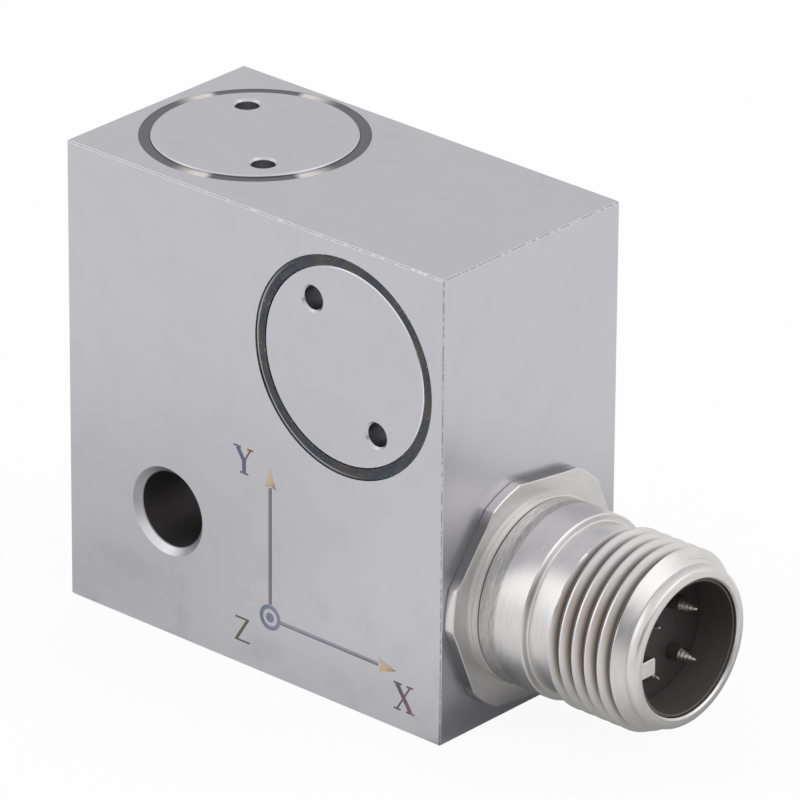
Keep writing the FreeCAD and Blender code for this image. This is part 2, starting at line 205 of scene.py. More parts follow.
class Field:
    """A number, colour or vector that varies over a surface, as a node gives it."""

    def __init__(self, sheet: "NodeSheet", socket: Socket) -> None:
        """Keeps the socket and the sheet that it is on."""
        self.sheet = sheet
        self.socket = socket

    def math(self, operation: str, *others: object) -> "Field":
        """Adds a Math node whose first value is this one."""
        return self.sheet.math(operation, self, *others)

    def __add__(self, other: object) -> "Field":
        """The sum with another value."""
        return self.math("ADD", other)

    def __sub__(self, other: object) -> "Field":
        """This value less another."""
        return self.math("SUBTRACT", other)

    def __rsub__(self, other: float) -> "Field":
        """A number less this value."""
        return self.sheet.math("SUBTRACT", other, self)

    def __mul__(self, other: object) -> "Field":
        """The product with another value."""
        return self.math("MULTIPLY", other)

    def __truediv__(self, other: float) -> "Field":
        """This value over a number."""
        return self.math("DIVIDE", other)

    def spread(self, low: object, high: object) -> "Field":
        """Maps a value that runs from 0 to 1 to the range from low to high."""
        return self.sheet.field("MapRange", Value=self, To_Min=low, To_Max=high)

    def step(self, start: float, end: float) -> "Field":
        """A smooth step: 0 before start and 1 after end, or the other way where end is lower."""
        kind = {"interpolation_type": "SMOOTHSTEP"}
        low, high = min(start, end), max(start, end)
        rise = (0.0, 1.0) if end > start else (1.0, 0.0)
        sizes = {"From_Min": low, "From_Max": high, "To_Min": rise[0], "To_Max": rise[1]}
        return self.sheet.field("MapRange", 0, kind, Value=self, **sizes)

    def window(self, low: float, high: float, soft: float) -> "Field":
        """1 between low and high and 0 outside, over a soft margin."""
        return self.step(low - soft, low + soft) * self.step(high + soft, high - soft)

    def mix(self, first: object, second: object) -> "Field":
        """A number between two others, with this value as the second's share."""
        return self.sheet.field("Mix", 0, {"data_type": "FLOAT"}, in0=self, in2=first, in3=second)

    def blend(self, first: "Field | Colour", second: "Field | Colour") -> "Field":
        """A colour between two others, with this value as the second's share."""
        ends = [end if isinstance(end, Field) else (*end, 1.0) for end in (first, second)]
        return self.sheet.field("Mix", 2, {"data_type": "RGBA"}, in0=self, in6=ends[0], in7=ends[1])

    def shaded(self, level: object) -> "Field":
        """This colour or vector times a level."""
        return self.sheet.field("VectorMath", 0, {"operation": "SCALE"}, in0=self, Scale=level)

    def dimmed(self, mask: "Field", level: object) -> "Field":
        """This colour times a level where the mask is 1."""
        return self.shaded(mask.mix(1.0, level))

    def noise(self, size_mm: float, detail: float = 3.0) -> "Field":
        """Noise at this point, whose features are about size_mm across."""
        return self.sheet.field("TexNoise", Vector=self, Scale=1.0 / size_mm, Detail=detail)

    def axis(self, name: str) -> "Field":
        """One axis of this point."""
        return self.sheet.field("SeparateXYZ", name, Vector=self)

    def dot(self, direction: Point) -> "Field":
        """How far this point lies along a direction."""
        return self.sheet.field("VectorMath", "Value", {"operation": "DOT_PRODUCT"}, in0=self, in1=direction)

    def round(self, station: Station) -> "Round":
        """Where this point lies round a station's axis."""
        local = self.sheet.field("VectorMath", 0, {"operation": "SUBTRACT"}, in0=self, in1=station.mouth)
        up = tuple(np.cross(station.out, station.side))
        across, above = local.dot(station.side), local.dot(up)
        squares = across.math("POWER", 2.0) + above.math("POWER", 2.0)
        return Round(squares.math("SQRT"), local.dot(station.out), above.math("ARCTAN2", across))


class Round(NamedTuple):
    """Where a point lies round a station's axis: radius, height above the mouth and turn."""

    radius: Field
    height: Field
    turn: Field

    def facing(self, degrees: float, start: float, end: float) -> Field:
        """1 about a turn and 0 well away from it: a step of the cosine of the angle between."""
        return (self.turn - math.radians(degrees)).math("COSINE").step(start, end)

    def lines(self, line_mm: float, patches: float) -> Field:
        """Noise drawn out round the axis, as a turning tool leaves it.

        Its point is (height, radius) over the line's width, moved by a small circle that
        goes round with the turn, so it closes on itself.

        Args:
            line_mm: How wide a line is.
            patches: How often the lines change round the axis.

        Returns:
            The noise, from 0 to 1.
        """
        wave = self.turn.math("COSINE") * patches + self.radius / line_mm
        other = self.turn.math("SINE") * patches
        return self.turn.sheet.field("CombineXYZ", X=self.height / line_mm, Y=wave, Z=other).noise(1.0)


class NodeSheet:
    """The nodes of a material or of the surroundings."""

    def __init__(self, owner: bpy.types.Material | bpy.types.World) -> None:
        """Switches the owner's nodes on."""
        owner.use_nodes = True
        self.owner = owner
        self.tree = owner.node_tree

    @property
    def shader(self) -> bpy.types.Node:
        """The material's Principled shader."""
        return self.tree.nodes["Principled BSDF"]

    @property
    def output(self) -> Socket:
        """The surface input of the material's output."""
        return self.tree.nodes["Material Output"].inputs["Surface"]

    def join(self, value: object, socket: Socket) -> None:
        """Links a field, or sets a plain value."""
        if isinstance(value, Field):
            self.tree.links.new(value.socket, socket)
        else:
            socket.default_value = value

    def field(
        self, kind: str, output: str | int = 0, settings: dict | None = None, **inputs: object,
    ) -> Field:
        """Adds a node and returns one of its outputs.

        Args:
            kind: The node's type, without ShaderNode.
            output: The output's name or number.
            settings: Values for the node's own properties.
            inputs: Values or fields for its inputs, with spaces written as underscores,
                or in0, in1 and so on where a name is not enough.

        Returns:
            The output.
        """
        node = self.tree.nodes.new("ShaderNode" + kind)
        for key, value in (settings or {}).items():
            setattr(node, key, value)
        for key, value in inputs.items():
            numbered = key.startswith("in") and key[2:].isdigit()
            self.join(value, node.inputs[int(key[2:]) if numbered else key.replace("_", " ")])
        return Field(self, node.outputs[output])

    def math(self, operation: str, *values: object) -> Field:
        """Adds a Math node and returns its result."""
        inputs = {f"in{k}": value for k, value in enumerate(values)}
        return self.field("Math", 0, {"operation": operation}, **inputs)

    def spot(self) -> Field:
        """The point on the object, in millimetres."""
        return self.field("TexCoord", "Object").shaded(1.0 / MM)

    def finish(self, colour: Field, roughness: Field, relief: Field, depth_mm: float) -> bpy.types.Material:
        """Sends colour, roughness and relief to the shader.

        Args:
            colour: The base colour.
            roughness: The roughness.
            relief: A height from 0 to 1.
            depth_mm: How deep the relief is.

        Returns:
            The finished material.
        """
        bump = self.field("Bump", Height=relief, Distance=depth_mm * MM, Strength=0.6)
        for name, value in (("Base Color", colour), ("Roughness", roughness), ("Normal", bump)):
            self.join(value, self.shader.inputs[name])
        return self.owner


@dataclass(frozen=True)
class Finish:
    """A plain solid finish with a fine grain: colour, gloss and texture."""

    name: str
    colour: Colour
    metallic: float = 0.0
    roughness: float = 0.5
    grain_mm: float = 0.15
    grain_depth_mm: float = 0.002
    tint: float = 0.06
    patch_mm: float = 3.0
    roughness_spread: float = 0.06

    def start(self) -> tuple[NodeSheet, Field]:
        """A new sheet, metal or not, and the point on the object."""
        sheet = NodeSheet(bpy.data.materials.new(self.name))
        sheet.shader.inputs["Metallic"].default_value = self.metallic
        return sheet, sheet.spot()

    def base(self, spot: Field) -> Field:
        """The colour, which a broad noise makes a little darker and lighter."""
        dark = tuple(c * (1.0 - self.tint) for c in self.colour)
        light = tuple(min(1.0, c * (1.0 + self.tint)) for c in self.colour)
        return spot.noise(self.patch_mm).blend(dark, light)

    def grain(self, spot: Field) -> Field:
        """The fine grain."""
        return spot.noise(self.grain_mm, 2.0)

    def gloss(self, grain: Field) -> Field:
        """Roughness that follows the grain."""
        return grain.spread(self.roughness - self.roughness_spread, self.roughness + self.roughness_spread)

    def material(self) -> bpy.types.Material:
        """Builds the material: a broad noise varies its colour, and a fine one its gloss and relief."""
        sheet, spot = self.start()
        grain = self.grain(spot)
        return sheet.finish(self.base(spot), self.gloss(grain), grain, self.grain_depth_mm)


@dataclass(frozen=True)
class GroundSteel(Finish):
    """Satin stainless steel, ground flat, with streaks and a faint dark mottle that is stronger towards the
    bottom.
    """

    dark_mottle_mm: float = 2.6
    dark_mottle_range: Span = (0.48, 0.72)
    dark_mottle_level: float = 0.9
    low_zone_mm: float = 12.0
    upper_share: float = 0.25
    streak: Point = (14.0, 1.0, 1.0)
    streak_gloss: float = 0.015

    def ground(self, spot: Field) -> tuple[Field, Field, Field]:
        """The bare ground face.

        Args:
            spot: The point in millimetres.

        Returns:
            The colour, the roughness and the relief.
        """
        grain = self.grain(spot)
        scale = tuple(1.0 / s for s in self.streak)
        streaks = spot.sheet.field("Mapping", Vector=spot, Scale=scale).noise(self.grain_mm * 3, 2.0)
        # A faint dark mottle, stronger towards the bottom.
        dark_mottle = spot.noise(self.dark_mottle_mm, 5.0).step(*self.dark_mottle_range)
        zone = spot.axis("Z").step(self.low_zone_mm, 0.0).mix(self.upper_share, 1.0)
        colour = self.base(spot).shaded((dark_mottle * zone).spread(1.0, self.dark_mottle_level))
        return colour, self.gloss(grain) + streaks.spread(-self.streak_gloss, self.streak_gloss), grain


@dataclass(frozen=True)
class BlockSteel(GroundSteel):
    """Ground steel with painted shade inside the mounting hole, a painted highlight on one side of its rim,
    and painted shade in patches along the three broken edges in front.
    """

    hole: Station = Station((-7.1, -8.0, 8.45), (0.0, -1.0, 0.0), (1.0, 0.0, 0.0))
    hole_radius: float = 2.56
    hole_rim: float = 2.96
    hole_gloss: float = 0.45
    hole_shade_colour: Colour = (0.30, 0.29, 0.29)
    rim_highlight_levels: Span = (0.70, 1.25)
    rim_highlight_turn: float = -118.0
    rim_highlight_spread: Span = (0.5, 0.97)
    corner: Point = (15.5, -8.0, 31.0)
    edge_mm: float = 0.10
    edge_dark: float = 0.56
    edge_bright: Span = (0.62, 0.98)
    edge_shade_fade: Span = (-8.0, 6.0)
    edge_count: Span = (1.4, 1.9)
    edge_patch_mm: float = 0.35
    edge_patches: Span = (0.48, 0.60)
    margin: float = 0.02

    def edges(self, spot: Field) -> Field:
        """1 on the broken edges that meet at the front corner, where two faces are near."""
        ends = (self.edge_mm, self.edge_mm - self.margin)
        near = [(spot.axis(n) - place).math("ABSOLUTE").step(*ends) for n, place in zip("XYZ", self.corner)]
        return (near[0] + near[1] + near[2]).step(*self.edge_count)

    def material(self) -> bpy.types.Material:
        """Builds the ground face, then lays painted shade in the hole, a painted highlight and shade on its
        rim, and painted shade on the edges over it.
        """
        sheet, spot = self.start()
        colour, gloss, grain = self.ground(spot)
        hole = spot.round(self.hole)
        rim = hole.radius.window(self.hole_radius, self.hole_rim, self.margin)
        inside = hole.radius.step(self.hole_radius, self.hole_radius - self.margin)
        # Painted highlight on one side of the hole's rim and painted shade on the other.
        rim_highlight = hole.facing(self.rim_highlight_turn, *self.rim_highlight_spread).spread(*self.rim_highlight_levels)
        # Painted shade fills the inside of the mounting hole.
        colour = inside.blend(colour.dimmed(rim, rim_highlight), self.hole_shade_colour)
        # Painted shade in patches along the front edges, darkest towards the left, dimming their highlight.
        bright = spot.axis("X").step(*self.edge_shade_fade).spread(*self.edge_bright)
        broken = spot.noise(self.edge_patch_mm).step(*self.edge_patches).mix(self.edge_dark, bright)
        gloss = rim.math("MAXIMUM", inside).mix(gloss, self.hole_gloss)
        return sheet.finish(colour.dimmed(self.edges(spot), broken), gloss, grain, self.grain_depth_mm)


@dataclass(frozen=True)
class TopRing(Finish):
    """The turned ring round the top cover: its dark colour is a painted dark reflection, with four painted
    glints.
    """

    glint: Colour = (0.80, 0.76, 0.71)
    glint_turn: float = 131.7
    glint_rise: Span = (0.75, 0.62)
    glint_fade: Span = (-0.10, 0.55)
    line_mm: float = 0.06
    line_patches: float = 3.0
    line_levels: Span = (0.86, 1.14)
    mottle_levels: Span = (0.85, 1.15)

    def glints(self, place: Round) -> Field:
        """Four painted glints on the turned ring, in two pairs.

        The spots follow the cosine of twice the turn from the glint's line: they rise
        at once beside the line and fade slowly away from it.
        """
        line = (place.turn * 2.0 - 2.0 * math.radians(self.glint_turn)).math("COSINE")
        return line.step(*self.glint_rise) * line.step(*self.glint_fade)

    def material(self) -> bpy.types.Material:
        """Builds the material: tool lines and a mottle, with the painted glints over them."""
        sheet, spot = self.start()
        place = spot.round(TOP)
        lines, mottle = place.lines(self.line_mm, self.line_patches), spot.noise(self.grain_mm, 4.0)
        # Painted glints over the ring's dark colour, which stands in for a dark reflection.
        colour = self.glints(place).blend(self.colour, self.glint)
        colour = colour.shaded(lines.spread(*self.line_levels)).shaded(mottle.spread(*self.mottle_levels))
        return sheet.finish(colour, self.gloss(mottle), lines, self.grain_depth_mm)


@dataclass(frozen=True)
class FrontRing(Finish):
    """The polished ring round the front cover: its dark colour is a painted dark reflection, tinted cool and
    warm, scratched and specked.
    """

    warm: Colour = (0.088, 0.080, 0.078)
    tint_mm: float = 1.7
    tint_range: Span = (0.38, 0.64)
    scratch_mm: float = 0.07
    scratch_patches: float = 6.0
    scratch_levels: Span = (0.55, 1.45)
    speck: Colour = (0.5, 0.5, 0.52)
    speck_mm: float = 0.13
    speck_range: Span = (0.64, 0.74)
    speck_share: float = 0.5
    lip: Span = (7.00, 7.11)
    lip_highlight_turn: float = -155.0
    lip_highlight_colour: Colour = (0.40, 0.40, 0.41)
    line_turn: float = -118.0
    line_level: float = 0.35
    line_soft: float = 0.03
    turn_spread: Span = (0.1, 0.85)

    def material(self) -> bpy.types.Material:
        """Builds the material: scratches round the axis, specks, a painted highlight on the lip and a painted
        shade line at its edge.
        """
        sheet, spot = self.start()
        place = spot.round(FRONT)
        scratches = place.lines(self.scratch_mm, self.scratch_patches)
        tint = spot.noise(self.tint_mm, 5.0).step(*self.tint_range).blend(self.colour, self.warm)
        specks = spot.noise(self.speck_mm, 2.0).step(*self.speck_range) * self.speck_share
        colour = specks.blend(tint.shaded(scratches.spread(*self.scratch_levels)), self.speck)
        # Painted highlight on one side of the lip, and painted shade along its outer edge on another side.
        lip = place.radius.window(*self.lip, 0.02) * place.facing(self.lip_highlight_turn, *self.turn_spread)
        line = place.radius.step(self.lip[1], self.lip[1] + self.line_soft)
        line = line * place.facing(self.line_turn, *self.turn_spread)
        colour = lip.blend(colour, self.lip_highlight_colour).dimmed(line, self.line_level)
        return sheet.finish(colour, self.gloss(scratches), scratches, self.grain_depth_mm)


@dataclass(frozen=True)
class CoverSteel(GroundSteel):
    """Ground steel with painted shade deep in its spanner holes, below their chamfer, and a painted highlight
    on the front cover's rim.
    """

    hole_shade_levels: Span = (0.60, 0.95)
    hole_shade_depths: Span = (0.16, 0.30)
    rim_start: float = 6.34
    rim_soft: float = 0.03
    rim_highlight_level: float = 1.55
    top_proud_mm: float = 0.1
    front_sunk_mm: float = 0.12

    def material(self) -> bpy.types.Material:
        """Builds the ground face, paints shade on what lies deep below it and paints a highlight on the front
        cover's rim.
        """
        sheet, spot = self.start()
        colour, gloss, grain = self.ground(spot)
        top, front = spot.round(TOP), spot.round(FRONT)
        is_top = spot.axis("X").step(0.0, -0.1)
        depth = is_top.mix(-self.front_sunk_mm - front.height, self.top_proud_mm - top.height)
        # Painted shade deep in the spanner holes, deeper in the front cover's than in the top one's.
        colour = colour.dimmed(depth.step(*self.hole_shade_depths), is_top.mix(*self.hole_shade_levels))
        # Painted highlight on the front cover's rim.
        rim = front.radius.step(self.rim_start, self.rim_start + self.rim_soft) * (1.0 - is_top)
        return sheet.finish(colour.dimmed(rim, self.rim_highlight_level), gloss, grain, self.grain_depth_mm)


class Zone(NamedTuple):
    """A zone of the turned shell: its heights and its radii, each with a soft margin.

    Its colour is scaled by a level that runs from the first to the second: with the tool's marks in most
    zones, and with the radius on the flats.
    """

    heights: Point
    radii: Point
    levels: Span = (1.0, 1.0)

    def mask(self, place: Round) -> Field:
        """1 in the zone and 0 outside."""
        return place.height.window(*self.heights) * place.radius.window(*self.radii)


@dataclass(frozen=True)
class TurnedSteel(Finish):
    """Bright turned steel: tool lines round the axis, bands where the tool chattered, and painted
    reflections, highlights and shade.
    """

    line_mm: float = 0.06
    line_levels: Span = (0.93, 1.07)
    coarse_levels: Span = (0.86, 1.14)
    mark_range: Span = (0.30, 0.72)
    anisotropy: float = 0.45
    flanks: Zone = Zone((6.6, 11.3, 0.1), (0.0, 5.74, 0.14))
    flats: Zone = Zone((0.04, 0.68, 0.02), (7.1, 7.67, 0.02), (0.40, 0.85))
    chattered: Zone = Zone((1.9, 2.45, 0.08), (5.8, 99.0, 0.05), (0.60, 0.95))
    scratched: Zone = Zone((1.3, 1.85, 0.05), (5.8, 99.0, 0.05), (0.74, 1.15))
    undercut_shade: Zone = Zone((1.13, 1.22, 0.02), (5.8, 99.0, 0.05), (0.35, 0.35))
    root_ring: Zone = Zone((0.76, 1.08, 0.02), (0.0, 6.075, 0.025), (1.25, 1.25))
    thread_root: Zone = Zone((6.6, 11.3, 0.1), (0.0, 5.53, 0.17), (0.26, 0.26))
    warm: Colour = (0.56, 0.50, 0.45)
    warm_reflection_turn: float = 168.0
    warm_reflection_spread: Span = (0.70, 0.95)
    warm_reflection_share: float = 0.8
    flat_shade_radii: Span = (7.4, 7.68)
    chatter_gloss: float = 0.15

    def material(self) -> bpy.types.Material:
        """Builds the material from the height above the block's face and the turn about the axis."""
        sheet, spot = self.start()
        place = spot.round(SIDE)
        lines, coarse = place.lines(self.line_mm, 2.0), place.lines(self.line_mm * 3, 5.0)
        marks = place.lines(self.line_mm, 9.0).step(*self.mark_range)
        # A painted warm reflection on the thread flanks that face one way round the axis.
        warm = self.flanks.mask(place) * place.facing(self.warm_reflection_turn, *self.warm_reflection_spread) * self.warm_reflection_share
        colour = warm.blend(self.base(spot), self.warm)
        colour = colour.shaded(lines.spread(*self.line_levels)).shaded(coarse.spread(*self.coarse_levels))
        # Painted shade on the flange's flats, lighter towards their ends.
        flat_shade = place.radius.step(*self.flat_shade_radii).spread(*self.flats.levels)
        colour = colour.dimmed(self.flats.mask(place), flat_shade)
        # Darker thread roots, a painted highlight on the root ring, tool marks in two bands, and painted
        # shade in the undercut.
        for zone in (self.thread_root, self.root_ring, self.scratched, self.chattered, self.undercut_shade):
            colour = colour.dimmed(zone.mask(place), marks.spread(*zone.levels))
        gloss = self.gloss(coarse) + self.chattered.mask(place) * self.chatter_gloss
        sheet.shader.inputs["Anisotropic"].default_value = self.anisotropy
        tangent = sheet.field("Tangent", 0, {"direction_type": "UV_MAP", "uv_map": "surface"})
        sheet.join(tangent, sheet.shader.inputs["Tangent"])
        return sheet.finish(colour, gloss, lines, self.grain_depth_mm)


@dataclass(frozen=True)
class ContactMetal(Finish):
    """Bright contacts with turned rings on their points, painted in light and dark bands, and shanks that are
    dull and carry painted shade.
    """

    cone_start: float = 10.88
    shank_shade_level: float = 0.09
    shank_gloss: float = 0.5
    ring_share: float = 0.15
    lump_mm: float = 0.22
    lump_share: float = 0.7
    ring_levels: Span = (0.55, 1.35)

    def material(self) -> bpy.types.Material:
        """Builds the material: rings and lumps painted light and dark on the point, which is bare metal, and
        painted shade on the shank.
        """
        sheet, spot = self.start()
        height = spot.round(SIDE).height
        wave = (height * (2 * math.pi / self.grain_mm)).math("SINE")
        lumps = spot.noise(self.lump_mm, 2.0) * self.lump_share
        rings = (wave + 1.0) * self.ring_share + lumps
        point = height.step(self.cone_start - 0.05, self.cone_start)
        # The rings and lumps paint highlights and shade on the point over its turned relief; the shank
        # carries painted shade.
        colour = self.base(spot).shaded(point.mix(self.shank_shade_level, rings.spread(*self.ring_levels)))
        sheet.join(point, sheet.shader.inputs["Metallic"])
        gloss = point.mix(self.shank_gloss, self.roughness)
        return sheet.finish(colour, gloss, rings * point, self.grain_depth_mm)


@dataclass(frozen=True)
class InsertPlastic(Finish):
    """Dark moulded plastic with a painted reflection that makes it lighter low down, painted shade on its
    floor, faint rings and dust.
    """

    light: Colour = (0.115, 0.108, 0.106)
    low_reflection_levels: Span = (0.6, 1.3)
    arc_mm: float = 0.16
    arc_patches: float = 1.5
    arc_levels: Span = (0.85, 1.15)
    dust: Colour = (0.35, 0.34, 0.33)
    dust_mm: float = 0.13
    dust_range: Span = (0.73, 0.78)
    dust_share: float = 0.5
    low_reflection_heights: Span = (9.5, 4.0)
    floor_mm: float = 10.1
    insert_floor_shade: float = 0.55

    def material(self) -> bpy.types.Material:
        """Builds the material: a painted reflection that follows the height, faint rings about the axis,
        painted shade on the floor, and specks of dust.
        """
        sheet, spot = self.start()
        place = spot.round(SIDE)
        grain = self.grain(spot)
        # Painted reflection: lighter towards the bottom, in patches.
        mottle = spot.noise(self.patch_mm, 4.0).spread(*self.low_reflection_levels)
        low = spot.axis("Z").step(*self.low_reflection_heights) * mottle
        arcs = place.lines(self.arc_mm, self.arc_patches).spread(*self.arc_levels)
        colour = low.blend(self.colour, self.light).shaded(arcs)
        # Painted shade on the insert's floor.
        colour = colour.dimmed(place.height.step(self.floor_mm, self.floor_mm - 0.05), self.insert_floor_shade)
        dust = spot.noise(self.dust_mm, 2.0).step(*self.dust_range) * self.dust_share
        colour = dust.blend(colour, self.dust)
        return sheet.finish(colour, self.gloss(grain), grain, self.grain_depth_mm)


@dataclass(frozen=True)
class LaserMark(Finish):
    """A laser mark whose tint runs from one colour to another along a way, given as (x, z)."""

    other: Colour = (0.1, 0.1, 0.1)
    start_at: Span = (0.0, 0.0)
    along: Span = (1.0, 0.0)
    length_mm: float = 1.0
    mottle: float = 0.4

    def material(self) -> bpy.types.Material:
        """Builds the material: the tint follows the distance along the way, with a mottle."""
        sheet, spot = self.start()
        grain = self.grain(spot)
        x, z = self.along
        away = spot.dot((x, 0.0, z)) - (self.start_at[0] * x + self.start_at[1] * z)
        mottle = spot.noise(self.patch_mm, 4.0).spread(-self.mottle, self.mottle)
        colour = (away / self.length_mm + mottle).step(0.0, 1.0).blend(self.colour, self.other)
        colour = colour.shaded(grain.spread(1.0 - self.tint, 1.0 + self.tint))
        return sheet.finish(colour, self.gloss(grain), grain, self.grain_depth_mm)


class Slot(Enum):
    """The record's material slots, each with its finish."""

    block_steel = BlockSteel(
        "block_steel", (0.556, 0.552, 0.584), 1.0, 0.31, grain_mm=0.1, grain_depth_mm=0.0008,
        tint=0.022, patch_mm=6.0, roughness_spread=0.03,
    )
    cover_steel = CoverSteel(
        "cover_steel", (0.553, 0.549, 0.580), 1.0, 0.31, grain_mm=0.1, grain_depth_mm=0.0008,
        tint=0.02, patch_mm=5.0, roughness_spread=0.03,
    )
    turned_steel = TurnedSteel(
        "turned_steel", (0.655, 0.645, 0.640), 1.0, 0.34, grain_mm=0.045, grain_depth_mm=0.0012,
        tint=0.03, patch_mm=2.5, roughness_spread=0.06,
    )
    contact_metal = ContactMetal(
        "contact_metal", (0.66, 0.61, 0.58), 1.0, 0.25, grain_mm=0.23, grain_depth_mm=0.02,
        tint=0.05, patch_mm=0.5,
    )
    insert_plastic = InsertPlastic(
        "insert_plastic", (0.048, 0.043, 0.042), 0.0, 0.45, grain_mm=0.25, grain_depth_mm=0.004,
        tint=0.18, patch_mm=2.0,
    )
    seal_rubber = Finish("seal_rubber", (0.02, 0.02, 0.02), 0.0, 0.6)
    ring_nut_steel = Finish("ring_nut_steel", (0.5, 0.5, 0.52), 1.0, 0.3)
    potting_resin = Finish("potting_resin", (0.05, 0.04, 0.035), 0.0, 0.25)
    board_laminate = Finish("board_laminate", (0.03, 0.17, 0.07), 0.0, 0.4)
    chip_black = Finish("chip_black", (0.02, 0.02, 0.022), 0.0, 0.5)
    insulator_ceramic = Finish("insulator_ceramic", (0.8, 0.79, 0.75), 0.0, 0.35)
    piezo_ceramic = Finish("piezo_ceramic", (0.6, 0.52, 0.36), 0.0, 0.5)
    electrode_brass = Finish("electrode_brass", (0.75, 0.55, 0.25), 1.0, 0.3)
    mass_metal = Finish("mass_metal", (0.36, 0.36, 0.38), 1.0, 0.35)
    screw_steel = Finish("screw_steel", (0.35, 0.35, 0.37), 1.0, 0.35)
    lead_sleeve = Finish("lead_sleeve", (0.7, 0.68, 0.62), 0.0, 0.4)


# Pieces


def turned(angles: np.ndarray, radius: np.ndarray, height: np.ndarray) -> np.ndarray:
    """A grid of points round +Z from radius and height by row and turn."""
    return np.stack(np.broadcast_arrays(radius * np.cos(angles), radius * np.sin(angles), height), axis=-1)


def revolved(section: list[Span], turns: int, hand: int = 1) -> np.ndarray:
    """A grid of points from a section of (radius, height), carried round +Z one way or the other."""
    angles = np.linspace(0.0, 2 * math.pi, turns, endpoint=False)
    spots = np.array(section)
    return turned(hand * angles, spots[:, :1], spots[:, 1:])


